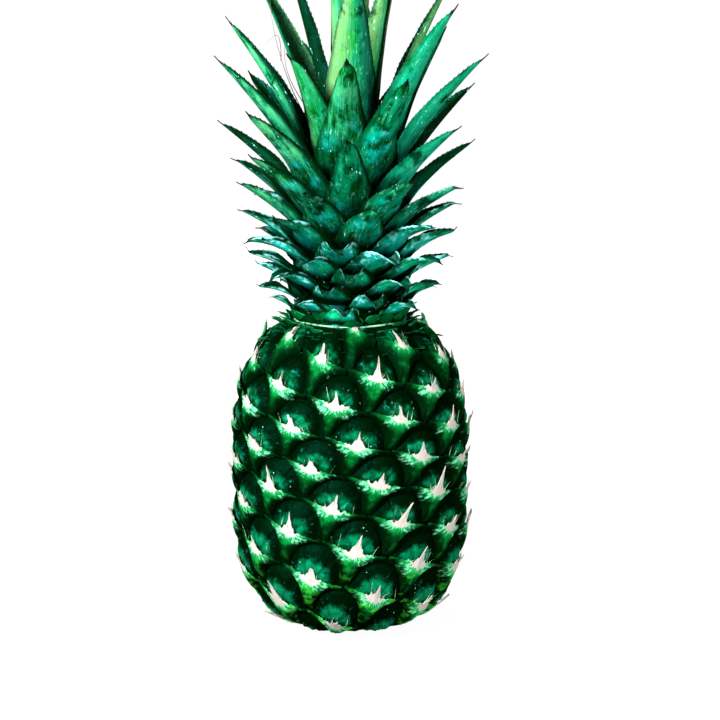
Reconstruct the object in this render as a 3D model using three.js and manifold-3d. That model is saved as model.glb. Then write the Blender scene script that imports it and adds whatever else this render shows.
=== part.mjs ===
// A whole pineapple standing upright: the fruit with its rind, the cut stem
// in the underside, and the crown of leaves.
// Millimetres, +Z up, front of the object towards -Y.
// Origin: centre of the flat spot that the fruit stands on.

import * as THREE from 'three';
import { ConvexHull } from 'three/addons/math/ConvexHull.js';
import { mergeVertices } from 'three/addons/utils/BufferGeometryUtils.js';
import Module from 'manifold-3d';

const wasm = await Module();
wasm.setup();

// Driving dimensions of the fruit
const FRUIT_HEIGHT = 153;
const FRUIT_RADIUS = 57.2;
const WAIST_LOW = 66;
const WAIST_HIGH = 88;
const FOOT_EXPONENT = 2.9;
const SHOULDER_EXPONENT = 2.5;
const FOOT_POLE = -1.6;
const SHOULDER_POLE = 158;

// Driving dimensions of the rind: eyes on one rising spiral
const EYE_TURN = 137.68;
const EYE_ZERO_ANGLE = -97;
const EYE_FIRST = -100;
const EYE_LAST = 46;
const EYE_ZERO_HEIGHT = 121.4;
const EYE_PITCH = [1.408, 0.00203, 0.0000687];
const RIND_LOW = 2.6;
const RIND_HIGH = 152.3;
const GROOVE_DEPTH = 2.6;
const BRACT_RISE = 1.3;
const SPINE_LENGTH = 6;
const SPINE_LEAN = 1.4;

// Driving dimensions of the cut stem
const STEM_RADIUS = 12.5;
const STEM_DEPTH = 7;
const FIT_GAP = 0.3;

// Driving dimensions of the crown
const CROWN_LEAVES = 88;
const CROWN_SPAN = 83;
const BASAL_LEAVES = 19;
const LEAF_TURN = 137.5;
const LEAF_ZERO_ANGLE = -95;
const HEART_LEAVES = 12;
const CORE_RADIUS = 25;
const CORE_TOP_RADIUS = 3;
const CORE_HEIGHT = 58;
const CORE_TAPER = 1.0;
const COLLAR_STAND = 1.5;
const BASAL_STAND = 1.6;
const LEAF_THICKNESS = 0.9;
const HEART_SINK = 0.6;
const FRONT_DROP = 0.09;
const GUTTER = 1.1;
const LEAF_TAPER = 0.61;

// Large leaves that grew out of line: turn in degrees, tip radius and tip
// height as multiples of the usual ones
const LEAF_CHANGES = {
  60: { turn: -11, reach: 1.1, rise: 1.0 },
  63: { turn: 6, reach: 1.03, rise: 1.08 },
  68: { turn: 7, reach: 0.94, rise: 0.99 },
  71: { turn: 10, reach: 1.1, rise: 1.06 },
  73: { turn: 12, reach: 0.9, rise: 0.83 },
  75: { turn: 10, reach: 1.2, rise: 1.0 },
};

// Leaves from the lowest to the innermost, as shares of the way up the crown:
// share, tip radius, tip height over the fruit, widest width
const LEAF_STATIONS = [
  [0.00, 38, 10, 20],
  [0.12, 46, 19, 22],
  [0.25, 50, 32, 25],
  [0.45, 54, 53, 28],
  [0.60, 59, 79, 31],
  [0.72, 64, 107, 34],
  [0.82, 66, 139, 35],
  [0.90, 48, 168, 34],
  [0.96, 24, 192, 30],
  [1.00, 10, 207, 24],
  [1.05, 5, 176, 18],
];

const DEGREE = Math.PI / 180;

function clamp(value, low, high) {
  return Math.min(Math.max(value, low), high);
}

function smooth(low, high, value) {
  const share = clamp((value - low) / (high - low), 0, 1);
  return share * share * (3 - 2 * share);
}

// A repeatable irregularity between -1 and 1 for thing number k
function uneven(k, salt) {
  const wave = Math.sin(k * 12.9898 + salt * 78.233) * 43758.5453;
  return 2 * (wave - Math.floor(wave)) - 1;
}

function between(stations, share, column) {
  let i = 0;
  while (i < stations.length - 2 && share > stations[i + 1][0]) {
    i += 1;
  }
  const [from, to] = [stations[i], stations[i + 1]];
  const part = (share - from[0]) / (to[0] - from[0]);
  return from[column] + (to[column] - from[column]) * part;
}

function toMesh(name, geometry, material) {
  geometry.computeVertexNormals();
  const mesh = new THREE.Mesh(geometry, material);
  mesh.name = name;
  return mesh;
}

function fromTriangles(points, triangles) {
  const geometry = new THREE.BufferGeometry();
  const flat = points.flatMap((p) => [p.x, p.y, p.z]);
  geometry.setAttribute('position', new THREE.Float32BufferAttribute(flat, 3));
  geometry.setIndex(triangles.flat());
  return geometry;
}

function toSolid(geometry) {
  const plain = geometry.clone();
  plain.deleteAttribute('normal');
  plain.deleteAttribute('uv');
  const merged = mergeVertices(plain, 1e-4);
  return new wasm.Manifold(new wasm.Mesh({
    numProp: 3,
    vertProperties: Float32Array.from(merged.attributes.position.array),
    triVerts: Uint32Array.from(merged.index.array),
  }));
}

function fromSolid(solid) {
  const mesh = solid.getMesh();
  const geometry = new THREE.BufferGeometry();
  geometry.setAttribute('position', new THREE.BufferAttribute(mesh.vertProperties, 3));
  geometry.setIndex(new THREE.BufferAttribute(mesh.triVerts, 1));
  return geometry;
}

// Fruit outline: a barrel, rounder at the shoulder than at the foot
function fruitRadius(z) {
  const low = Math.max(0, (WAIST_LOW - z) / (WAIST_LOW - FOOT_POLE));
  const high = Math.max(0, (z - WAIST_HIGH) / (SHOULDER_POLE - WAIST_HIGH));
  const foot = Math.pow(1 - Math.pow(low, FOOT_EXPONENT), 1 / FOOT_EXPONENT);
  const shoulder = Math.pow(1 - Math.pow(high, SHOULDER_EXPONENT), 1 / SHOULDER_EXPONENT);
  return FRUIT_RADIUS * foot * shoulder;
}

function fruitNormal(z, angle) {
  const slope = (fruitRadius(z + 0.05) - fruitRadius(z - 0.05)) / 0.1;
  const out = 1 / Math.hypot(1, slope);
  return new THREE.Vector3(out * Math.cos(angle), out * Math.sin(angle), -slope * out);
}

// Height of the spiral at a whole or part eye number
function eyeHeight(number) {
  const [rise, bend, flare] = EYE_PITCH;
  return EYE_ZERO_HEIGHT + rise * number + bend * number ** 2 + flare * number ** 3;
}

// Latitude on a unit sphere that keeps the outline's proportions, used only
// to decide which rind points are neighbours
function latitudeTable() {
  const steps = 800;
  const table = [];
  let stretch = 0;
  for (let i = 0; i <= steps; i += 1) {
    const z = FRUIT_HEIGHT * i / steps;
    const r = fruitRadius(z);
    if (i > 0) {
      const last = table[i - 1];
      stretch += Math.hypot(r - last.r, z - last.z) * 2 / (r + last.r);
    }
    table.push({ z, r, stretch });
  }
  return table;
}

const LATITUDES = latitudeTable();

function onSphere(r, z, angle) {
  const steps = LATITUDES.length - 1;
  const place = clamp(z / FRUIT_HEIGHT, 0, 1) * steps;
  const i = Math.min(Math.floor(place), steps - 1);
  const here = LATITUDES[i];
  const next = LATITUDES[i + 1];
  const middle = LATITUDES[steps].stretch / 2;
  let stretch = here.stretch + (next.stretch - here.stretch) * (place - i) - middle;
  if (z <= 0) {
    stretch += Math.log(Math.max(r, 1e-3) / LATITUDES[0].r);
  }
  if (z >= FRUIT_HEIGHT) {
    stretch -= Math.log(Math.max(r, 1e-3) / LATITUDES[steps].r);
  }
  const z1 = Math.tanh(stretch);
  const r1 = Math.sqrt(Math.max(0, 1 - z1 * z1));
  return new THREE.Vector3(r1 * Math.cos(angle), r1 * Math.sin(angle), z1);
}

// Points of one eye: across runs -1 to 1 from its left to its right corner,
// up runs -1 to 1 from its lower to its upper corner, relief is in millimetres
function eyePoints(number) {
  const dome = 0.5 * uneven(number, 1);
  const bract = BRACT_RISE * (1 + 0.3 * uneven(number, 2));
  const groove = -GROOVE_DEPTH;
  return [
    [0, -1, groove], [-0.25, -0.75, groove * 0.8], [-0.5, -0.5, groove * 0.75],
    [-0.75, -0.25, groove * 0.8], [0.25, -0.75, groove * 0.8],
    [0.5, -0.5, groove * 0.75], [0.75, -0.25, groove * 0.8],
    [-0.25, 0.5, -0.4 + dome], [0.25, 0.5, -0.4 + dome],
    [-0.45, 0.3, -0.3 + dome], [0, 0.3, 0.5 + dome], [0.45, 0.3, -0.3 + dome],
    [-0.7, 0.08, -0.9], [-0.35, 0.08, 0.1], [0, 0.08, 0.3], [0.35, 0.08, 0.1], [0.7, 0.08, -0.9],
    [-0.74, -0.04, 0.1], [-0.38, -0.03, bract], [0.38, -0.03, bract], [0.74, -0.04, 0.1],
    [-0.45, -0.3, bract * 0.8], [0, -0.28, bract * 1.2], [0.45, -0.3, bract * 0.8],
    [0, -0.6, bract * 0.7],
    [0, 0, bract + SPINE_LEAN, 1],
  ];
}

function rindPoint(number, [across, up, relief, spine]) {
  const a = (across + up) / 2;
  const b = (up - across) / 2;
  const angle = (EYE_ZERO_ANGLE + number * EYE_TURN
    + a * (8 * EYE_TURN - 1080) + b * (13 * EYE_TURN - 1800)) * DEGREE;
  const z = eyeHeight(number + 8 * a + 13 * b);
  if (z < RIND_LOW || z > RIND_HIGH) {
    return null;
  }
  const fade = smooth(RIND_LOW, 10, z) * (1 - smooth(149, RIND_HIGH, z));
  const r = fruitRadius(z);
  const place = new THREE.Vector3(r * Math.cos(angle), r * Math.sin(angle), z);
  const normal = fruitNormal(z, angle);
  place.addScaledVector(normal, relief * (0.25 + 0.75 * fade));
  if (spine) {
    const side = new THREE.Vector3(-Math.sin(angle), Math.cos(angle), 0);
    const rise = new THREE.Vector3().crossVectors(normal, side);
    place.addScaledVector(rise, SPINE_LENGTH * (1 + 0.25 * uneven(number, 3)) * (0.4 + 0.6 * fade));
    place.addScaledVector(side, 1.5 * uneven(number, 4) * fade);
  }
  return { place, flat: onSphere(r, z, angle) };
}

function ring(r, z, count) {
  const points = [];
  for (let i = 0; i < count; i += 1) {
    const angle = (i + 0.5) / count * 2 * Math.PI;
    points.push({
      place: new THREE.Vector3(r * Math.cos(angle), r * Math.sin(angle), z),
      flat: onSphere(r, z, angle),
    });
  }
  return points;
}

// Fruit: one solid, each eye a dome with its bract and spine, grooves between
function fruitGeometry() {
  const points = [
    ...ring(fruitRadius(0), 0, 30),
    ...ring(fruitRadius(FRUIT_HEIGHT), FRUIT_HEIGHT, 30),
    { place: new THREE.Vector3(0, 0, 0), flat: new THREE.Vector3(0, 0, -1) },
    { place: new THREE.Vector3(0, 0, FRUIT_HEIGHT), flat: new THREE.Vector3(0, 0, 1) },
  ];
  for (let number = EYE_FIRST; number <= EYE_LAST; number += 1) {
    for (const spot of eyePoints(number)) {
      const point = rindPoint(number, spot);
      if (point) {
        points.push(point);
      }
    }
  }
  const index = new Map(points.map((point, i) => [point.flat, i]));
  const hull = new ConvexHull().setFromPoints(points.map((point) => point.flat));
  const triangles = hull.faces.map((face) => {
    const corners = [];
    let edge = face.edge;
    do {
      corners.push(index.get(edge.head().point));
      edge = edge.next;
    } while (edge !== face.edge);
    return corners;
  });
  return fromTriangles(points.map((point) => point.place), triangles);
}

// Recess in the underside that the cut stem sits in
function stemRecess() {
  const depth = STEM_DEPTH + FIT_GAP;
  const cutter = new THREE.CylinderGeometry(
    STEM_RADIUS + FIT_GAP, STEM_RADIUS + FIT_GAP, 2 * depth, 28);
  cutter.rotateX(Math.PI / 2);
  return cutter;
}

function stemGeometry() {
  const geometry = new THREE.CylinderGeometry(STEM_RADIUS, STEM_RADIUS, STEM_DEPTH, 28);
  geometry.rotateX(Math.PI / 2);
  geometry.translate(0, 0, STEM_DEPTH / 2);
  return geometry;
}

// Stem core of the crown: a short taper that every leaf grows from
function coreRadius(share) {
  return CORE_TOP_RADIUS + (CORE_RADIUS - CORE_TOP_RADIUS) * Math.pow(1 - share, CORE_TAPER);
}

function coreGeometry() {
  const base = FRUIT_HEIGHT + FIT_GAP;
  const step = (BASAL_LEAVES + 0.3) / CROWN_SPAN;
  const profile = [
    new THREE.Vector2(0, base),
    new THREE.Vector2(coreRadius(0) + COLLAR_STAND, base),
    new THREE.Vector2(coreRadius(step) + COLLAR_STAND, base + CORE_HEIGHT * step),
  ];
  for (let i = 0; i <= 6; i += 1) {
    const share = step + (1 - step) * i / 6;
    profile.push(new THREE.Vector2(coreRadius(share) - 0.3, base + CORE_HEIGHT * share + 0.1));
  }
  profile.push(new THREE.Vector2(0, base + CORE_HEIGHT + 0.1));
  const geometry = new THREE.LatheGeometry(profile, 24);
  geometry.rotateX(Math.PI / 2);
  return geometry;
}

// How far a leaf's outer face stands off the core at its base
function leafStand(k) {
  if (k < BASAL_LEAVES) {
    return BASAL_STAND;
  }
  return k < CROWN_LEAVES - HEART_LEAVES ? LEAF_THICKNESS + FIT_GAP : -HEART_SINK;
}

// Sizes of leaf number k, 0 the lowest and outermost
function leafSizes(k) {
  const share = k / CROWN_SPAN;
  const stand = leafStand(k);
  const seat = Math.min(share, 1);
  const base = new THREE.Vector2(
    coreRadius(seat) + stand, FRUIT_HEIGHT + 1.5 + CORE_HEIGHT * seat * 0.95);
  const change = LEAF_CHANGES[k] || { turn: 0, reach: 1, rise: 1 };
  const angle = (LEAF_ZERO_ANGLE + k * LEAF_TURN + 4 * uneven(k, 7) + change.turn) * DEGREE;
  const front = Math.max(0, -Math.sin(angle));
  const reach = change.reach * (1 + 0.05 * uneven(k, 5));
  const rise = change.rise * (1 + 0.04 * uneven(k, 6)) * (1 - FRONT_DROP * front);
  const tip = new THREE.Vector2(
    base.x + (between(LEAF_STATIONS, share, 1) - base.x) * reach,
    FRUIT_HEIGHT + between(LEAF_STATIONS, share, 2) * rise);
  return {
    angle,
    base,
    tip,
    width: between(LEAF_STATIONS, share, 3) * (1 + 0.08 * uneven(k, 8)),
    sway: 4 * uneven(k, 9),
    twist: 7 * uneven(k, 10) * DEGREE,
    trough: GUTTER * (1 + 0.2 * uneven(k, 11)),
  };
}

// Midrib of a leaf in its own upright plane: steep at the base, arching out
function midrib(sizes) {
  const chord = new THREE.Vector2().subVectors(sizes.tip, sizes.base);
  const reach = chord.length();
  const lean = Math.atan2(chord.x, chord.y);
  const start = 0.5 * lean + 1 * DEGREE;
  const finish = lean + Math.min(22 * DEGREE, 0.6 * lean);
  return new THREE.CubicBezierCurve(
    sizes.base,
    new THREE.Vector2(Math.sin(start), Math.cos(start)).multiplyScalar(0.36 * reach).add(sizes.base),
    new THREE.Vector2(-Math.sin(finish), -Math.cos(finish)).multiplyScalar(0.34 * reach).add(sizes.tip),
    sizes.tip);
}

function leafHalfWidth(sizes, t, radius) {
  const half = sizes.width / 2 * Math.pow(1 - t, LEAF_TAPER) * (1 + 0.12 * Math.sin(Math.PI * t));
  return Math.min(half, 0.78 * radius);
}

// One leaf: a thin gutter, thick at the midrib and sharp at both margins
function leafGeometry(k, rows, columns) {
  const sizes = leafSizes(k);
  const curve = midrib(sizes);
  const points = [];
  const inner = [];
  const outer = [];
  for (let j = 0; j < rows; j += 1) {
    const t = j / rows;
    const centre = curve.getPoint(t);
    const tangent = curve.getTangent(t);
    const half = leafHalfWidth(sizes, t, centre.x);
    const steep = Math.max(tangent.y, 0.2);
    const wrap = steep / Math.max(centre.x, 4);
    const fold = sizes.trough * smooth(0.25, 0.7, t) / Math.max(half, 2);
    const bend = Math.min(wrap + fold, 1.4 / Math.max(half, 1));
    const thick = LEAF_THICKNESS * (1 - 0.55 * t);
    inner.push([]);
    outer.push([]);
    for (let i = 0; i <= columns; i += 1) {
      const u = 2 * i / columns - 1;
      const turn = u * half * bend;
      const across = Math.sin(turn) / bend;
      const inward = (1 - Math.cos(turn)) / bend;
      const skew = sizes.twist * t;
      const side = across * Math.cos(skew) + sizes.sway * t * t;
      const lift = inward + across * Math.sin(skew);
      const body = thick * (1 - u * u);
      const place = (depth) => {
        const radial = centre.x - (lift + depth) * tangent.y;
        const z = centre.y + (lift + depth) * tangent.x;
        return new THREE.Vector3(
          radial * Math.cos(sizes.angle) - side * Math.sin(sizes.angle),
          radial * Math.sin(sizes.angle) + side * Math.cos(sizes.angle),
          z);
      };
      outer[j].push(points.length);
      points.push(place(0));
      if (i === 0 || i === columns) {
        inner[j].push(points.length - 1);
      } else {
        inner[j].push(points.length);
        points.push(place(body));
      }
    }
  }
  const tip = points.length;
  points.push(new THREE.Vector3(
    sizes.tip.x * Math.cos(sizes.angle) - sizes.sway * Math.sin(sizes.angle),
    sizes.tip.x * Math.sin(sizes.angle) + sizes.sway * Math.cos(sizes.angle),
    sizes.tip.y));
  const triangles = [];
  const face = (a, b, c, flip) => {
    if (a !== b && b !== c && a !== c) {
      triangles.push(flip ? [a, c, b] : [a, b, c]);
    }
  };
  for (const [sheet, flip] of [[outer, false], [inner, true]]) {
    for (let j = 0; j < rows - 1; j += 1) {
      for (let i = 0; i < columns; i += 1) {
        face(sheet[j][i], sheet[j][i + 1], sheet[j + 1][i + 1], flip);
        face(sheet[j][i], sheet[j + 1][i + 1], sheet[j + 1][i], flip);
      }
    }
    for (let i = 0; i < columns; i += 1) {
      face(sheet[rows - 1][i], sheet[rows - 1][i + 1], tip, flip);
    }
  }
  for (let i = 0; i < columns; i += 1) {
    face(inner[0][i], inner[0][i + 1], outer[0][i + 1], false);
    face(inner[0][i], outer[0][i + 1], outer[0][i], false);
  }
  return fromTriangles(points, triangles);
}

// Crown base: the core with the short lowest leaves grown together on it
function crownBaseGeometry() {
  let solid = toSolid(coreGeometry());
  for (let k = 0; k < CROWN_LEAVES; k += 1) {
    if (k < BASAL_LEAVES) {
      solid = solid.add(toSolid(leafGeometry(k, 5, 2)));
    } else if (k >= CROWN_LEAVES - HEART_LEAVES) {
      solid = solid.add(toSolid(leafGeometry(k, 7, 2)));
    }
  }
  return fromSolid(solid);
}

const rindMaterial = new THREE.MeshStandardMaterial({ color: 0x0d5a30, roughness: 0.5 });
const stemMaterial = new THREE.MeshStandardMaterial({ color: 0xb09a6a, roughness: 0.85 });
const collarMaterial = new THREE.MeshStandardMaterial({ color: 0x0f6b42, roughness: 0.45 });

const group = new THREE.Group();

const fruit = toSolid(fruitGeometry()).subtract(toSolid(stemRecess()));
group.add(toMesh('fruit', fromSolid(fruit), rindMaterial));
group.add(toMesh('stem_cut', stemGeometry(), stemMaterial));
group.add(toMesh('crown_base', crownBaseGeometry(), collarMaterial));

for (let k = BASAL_LEAVES; k < CROWN_LEAVES - HEART_LEAVES; k += 1) {
  const share = (k - BASAL_LEAVES) / (CROWN_LEAVES - BASAL_LEAVES);
  const material = new THREE.MeshStandardMaterial({
    color: new THREE.Color(0x0c6f55).lerp(new THREE.Color(0x2f9a45), share),
    roughness: 0.42,
  });
  const number = String(k - BASAL_LEAVES + 1).padStart(2, '0');
  group.add(toMesh(`leaf_${number}`, leafGeometry(k, share < 0.5 ? 7 : 10, 3), material));
}

export default group;
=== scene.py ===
import math

import bpy
import numpy as np
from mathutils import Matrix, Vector


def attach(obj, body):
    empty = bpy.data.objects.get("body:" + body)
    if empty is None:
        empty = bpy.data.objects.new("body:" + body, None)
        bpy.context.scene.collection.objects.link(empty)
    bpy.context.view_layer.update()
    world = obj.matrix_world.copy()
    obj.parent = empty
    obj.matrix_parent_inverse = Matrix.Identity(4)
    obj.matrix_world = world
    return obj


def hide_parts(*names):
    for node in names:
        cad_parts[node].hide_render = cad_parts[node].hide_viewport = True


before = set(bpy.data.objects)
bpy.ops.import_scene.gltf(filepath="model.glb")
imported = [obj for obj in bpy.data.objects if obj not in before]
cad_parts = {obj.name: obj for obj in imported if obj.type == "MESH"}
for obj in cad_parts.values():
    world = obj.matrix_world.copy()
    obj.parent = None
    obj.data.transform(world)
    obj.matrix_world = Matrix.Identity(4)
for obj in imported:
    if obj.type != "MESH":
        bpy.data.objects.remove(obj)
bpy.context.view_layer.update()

# Rind of the fruit: about a hundred eyes grown together on rising spirals.
# Each eye is a waxy domed cushion of three folded sepals, and a deep dark
# groove runs round it. Below, lengths are in millimetres, angles in degrees.
MM = 0.001
FRUIT_HEIGHT = 153.0
FRUIT_RADIUS = 57.2
WAIST_LOW = 66.0
WAIST_HIGH = 88.0
FOOT_EXPONENT = 2.9
SHOULDER_EXPONENT = 2.5
FOOT_POLE = -1.6
SHOULDER_POLE = 158.0
EYE_TURN = 137.68
EYE_ZERO_ANGLE = -97.0
EYE_ZERO_HEIGHT = 121.4
EYE_PITCH = (1.408, 0.00203, 0.0000687)
EYE_NUMBERS = range(-80, 31)
ARCH_HALF_WIDTH = 0.8
ARCH_HEIGHT = 0.85
ARCH_FOOT = 0.14
FAN_FOOT = 0.16
SEPAL_FANS = (1.02, 2.12)
GROOVE_DEPTH = 2.5
DOME_RISE = 1.7
SEPAL_CREASE = 0.5
STEM_HOLE_RADIUS = 12.8
STEM_HOLE_DEPTH = 7.3
RIND_COLUMNS = 440
RIND_ROWS = 216

# Every eighth and every thirteenth eye lies nearly above the one before, and
# these are the turns left over: they make the two families of spirals.
EIGHTH_TURN = 8 * EYE_TURN - 3 * 360
THIRTEENTH_TURN = 13 * EYE_TURN - 5 * 360


def smooth(low, high, value):
    share = np.clip((value - low) / (high - low), 0, 1)
    return share * share * (3 - 2 * share)


def uneven(number, salt):
    """A repeatable irregularity between -1 and 1 for thing `number`."""
    wave = np.sin(number * 12.9898 + salt * 78.233) * 43758.5453
    return 2 * (wave - np.floor(wave)) - 1


def fruit_radius(z):
    low = np.maximum(0, (WAIST_LOW - z) / (WAIST_LOW - FOOT_POLE))
    high = np.maximum(0, (z - WAIST_HIGH) / (SHOULDER_POLE - WAIST_HIGH))
    foot = (1 - low ** FOOT_EXPONENT) ** (1 / FOOT_EXPONENT)
    shoulder = (1 - high ** SHOULDER_EXPONENT) ** (1 / SHOULDER_EXPONENT)
    return FRUIT_RADIUS * foot * shoulder


def eye_height(number):
    rise, bend, flare = EYE_PITCH
    return EYE_ZERO_HEIGHT + rise * number + bend * number ** 2 + flare * number ** 3


SPIRAL_NUMBERS = np.linspace(-85, 40, 2000)
SPIRAL_HEIGHTS = eye_height(SPIRAL_NUMBERS)


def points_round(radius, turned, z):
    """Points in mm at a radius, an angle in radians and a height."""
    spots = np.broadcast_arrays(radius * np.cos(turned), radius * np.sin(turned), z)
    return np.stack(spots, axis=-1)


def place_on_rind(angle, z, relief):
    """Points in mm at an angle and a height, `relief` above the plain outline."""
    z = np.clip(z, 0, FRUIT_HEIGHT)
    radius = fruit_radius(z)
    above = fruit_radius(np.minimum(z + 0.1, FRUIT_HEIGHT))
    slope = (above - fruit_radius(np.maximum(z - 0.1, 0))) / 0.2
    out = 1 / np.hypot(1, slope)
    height = np.maximum(z - relief * slope * out, 0)
    return points_round(radius + relief * out, np.radians(angle), height)


def eye_place(number, across, up):
    """Angle and height of a spot of one eye: across and up run from -1 to 1."""
    a = (across + up) / 2
    b = (up - across) / 2
    angle = EYE_ZERO_ANGLE + number * EYE_TURN + a * EIGHTH_TURN + b * THIRTEENTH_TURN
    return angle, eye_height(number + 8 * a + 13 * b)


def eye_spot(angle, z, number):
    """The opposite of eye_place: across and up of a spot, seen from one eye."""
    turn = (angle - EYE_ZERO_ANGLE - number * EYE_TURN + 180) % 360 - 180
    rise = np.interp(z, SPIRAL_HEIGHTS, SPIRAL_NUMBERS) - number
    a = (13 * turn - THIRTEENTH_TURN * rise) / 360
    b = (EIGHTH_TURN * rise - 8 * turn) / 360
    return a - b, a + b


def end_fade(z):
    return 0.35 + 0.65 * smooth(1.6, 7, z) * (1 - smooth(149, 152.3, z))


def ripple(points, length, seed):
    """Soft irregular waves of about that length in mm, between -1 and 1."""
    rng = np.random.default_rng(seed)
    total = np.zeros(len(points))
    for _ in range(9):
        way = rng.normal(size=3)
        way *= 2 * math.pi / (length * np.linalg.norm(way)) * rng.uniform(0.7, 1.4)
        total += np.sin(points @ way + rng.uniform(0, 6.3))
    return total / 4


def make_piece(name, material, points, faces, values, sharp=None):
    """A mesh object from points in mm, with named values at its points."""
    mesh = bpy.data.meshes.new(name)
    mesh.from_pydata((np.asarray(points) * MM).tolist(), [], faces)
    for label, numbers in values.items():
        layer = mesh.attributes.new(label, "FLOAT", "POINT")
        layer.data.foreach_set("value", np.asarray(numbers, dtype=np.float32))
    mesh.shade_smooth()
    if sharp is not None:
        mesh.set_sharp_from_angle(angle=math.radians(sharp))
    mesh.materials.append(material)
    piece = bpy.data.objects.new(name, mesh)
    bpy.context.scene.collection.objects.link(piece)
    return piece


def join_parts(parts):
    """One set of points, faces and named values out of many, in their order."""
    points, faces, values, count = [], [], {}, 0
    for part_points, part_faces, part_values in parts:
        points.append(part_points)
        faces += [[corner + count for corner in face] for face in part_faces]
        count += len(part_points)
        for label, numbers in part_values.items():
            values.setdefault(label, []).append(numbers)
    return np.concatenate(points), faces, {label: np.concatenate(rows) for label, rows in values.items()}


def ring_faces(rows, columns):
    """Faces between closed rings of points, each ring above the last."""
    spot = np.arange(rows * columns).reshape(rows, columns)
    beside = np.roll(spot, -1, axis=1)
    return np.stack([spot[:-1], beside[:-1], beside[1:], spot[1:]], axis=-1).reshape(-1, 4).tolist()


def closed_faces(rows, columns):
    """The same, with the lowest and the highest ring closed off."""
    last = (rows - 1) * columns
    return ring_faces(rows, columns) + [list(range(columns))[::-1], list(range(last, last + columns))]


def rind_relief(angle, z):
    """Relief of the rind in mm and what the finish needs to know of each spot."""
    number_here = np.floor(np.interp(z, SPIRAL_HEIGHTS, SPIRAL_NUMBERS))
    nearest = np.full(angle.shape, 9.0)
    across, up, owner = (np.zeros(angle.shape) for _ in range(3))
    for step in range(-14, 15):
        number = number_here + step
        side, rise = eye_spot(angle, z, number)
        lifted = rise + ARCH_FOOT
        arch = np.hypot(side / ARCH_HALF_WIDTH, lifted / (ARCH_HEIGHT + ARCH_FOOT))
        arch = np.where(lifted < 0, 1.15 + np.abs(side) + np.abs(lifted), arch)
        closer = arch < nearest
        nearest = np.where(closer, arch, nearest)
        across = np.where(closer, side, across)
        up = np.where(closer, rise, up)
        owner = np.where(closer, number, owner)
    inside = np.clip(1 - nearest ** 2.4, 0, 1) ** 0.6
    foot = np.exp(-((up + ARCH_FOOT) / 0.22) ** 2)
    fullness = 1 + 0.3 * uneven(owner, 1)
    height = -GROOVE_DEPTH + (GROOVE_DEPTH + DOME_RISE * fullness) * inside * (1 - 0.5 * foot)
    fan = np.arctan2(up + FAN_FOOT, across)
    crease = sum(np.exp(-((fan - middle) / 0.12) ** 2) for middle in SEPAL_FANS)
    height -= SEPAL_CREASE * crease * smooth(0.1, 0.3, nearest) * (1 - smooth(0.72, 0.95, nearest))
    return height, {"inside": inside, "across": across, "up": up, "seed": 0.5 + 0.5 * uneven(owner, 5)}


outline_z = np.linspace(0, FRUIT_HEIGHT, 3000)
outline_step = np.hypot(np.diff(fruit_radius(outline_z)), np.diff(outline_z))
outline_length = np.concatenate([[0], np.cumsum(outline_step)])
row_z = np.interp(np.linspace(0, outline_length[-1], RIND_ROWS), outline_length, outline_z)
column_angle = np.arange(RIND_COLUMNS) * 360 / RIND_COLUMNS
angle_grid, z_grid = (grid.ravel() for grid in np.meshgrid(column_angle, row_z))
relief, rind_values = rind_relief(angle_grid, z_grid)
relief *= end_fade(z_grid) * smooth(0, 1.5, z_grid) * (1 - smooth(151.5, FRUIT_HEIGHT, z_grid))
rind_points = place_on_rind(angle_grid, z_grid, relief)
wrinkle = 0.14 * ripple(rind_points, 4.5, 11) + 0.06 * ripple(rind_points, 1.9, 12)
wrinkle *= smooth(0.5, 4, z_grid) * (1 - smooth(149, 152, z_grid)) * (1 + 3 * (1 - smooth(6, 26, z_grid)))
rind_points = place_on_rind(angle_grid, z_grid, relief + wrinkle)


def level_ring(radius, z):
    return points_round(radius, np.radians(column_angle), z)


rim = float(fruit_radius(0.0))
under = [level_ring(0.5, STEM_HOLE_DEPTH), level_ring(STEM_HOLE_RADIUS, STEM_HOLE_DEPTH),
         level_ring(STEM_HOLE_RADIUS, 0.0), level_ring((STEM_HOLE_RADIUS + rim) / 2, 0.0)]
top = float(fruit_radius(FRUIT_HEIGHT))
over = [level_ring(top * share, FRUIT_HEIGHT) for share in (0.75, 0.4, 0.02)]
all_rings = np.concatenate(under + [rind_points] + over)
rind_faces = closed_faces(len(under) + RIND_ROWS + len(over), RIND_COLUMNS)
rind_values = {label: np.pad(numbers, (len(under) * RIND_COLUMNS, len(over) * RIND_COLUMNS))
               for label, numbers in rind_values.items()}


def new_group(name, inputs, output):
    """A shader node group with named number sockets."""
    group = bpy.data.node_groups.new(name, "ShaderNodeTree")
    for label, start in inputs.items():
        socket = group.interface.new_socket(label, in_out="INPUT", socket_type="NodeSocketFloat")
        socket.default_value = start
    group.interface.new_socket(output, in_out="OUTPUT", socket_type="NodeSocketFloat")
    return group, group.nodes.new("NodeGroupInput").outputs, group.nodes.new("NodeGroupOutput").inputs[0]


def use_group(tree, group, values):
    node = tree.nodes.new("ShaderNodeGroup")
    node.node_tree = group
    for label, value in values.items():
        feed(node.inputs[label], value)
    return node.outputs[0]


def feed(socket, value):
    if isinstance(value, bpy.types.NodeSocket):
        socket.id_data.links.new(value, socket)
    else:
        socket.default_value = value


def new_node(kind, values):
    """A shader node in the tree that the sockets among its values are in."""
    tree = next(value.id_data for value in values if isinstance(value, bpy.types.NodeSocket))
    return tree.nodes.new(kind)


def sum_up(operation, *values):
    node = new_node("ShaderNodeMath", values)
    node.operation = operation
    for socket, value in zip(node.inputs, values):
        feed(socket, value)
    return node.outputs[0]


def times(first, *others):
    for other in others:
        first = sum_up("MULTIPLY", first, other)
    return first


def times_plus(first, second, third):
    return sum_up("MULTIPLY_ADD", first, second, third)


def minus(first, second):
    return sum_up("SUBTRACT", first, second)


def length_of(side, rise):
    return sum_up("SQRT", times_plus(side, side, times(rise, rise)))


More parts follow.
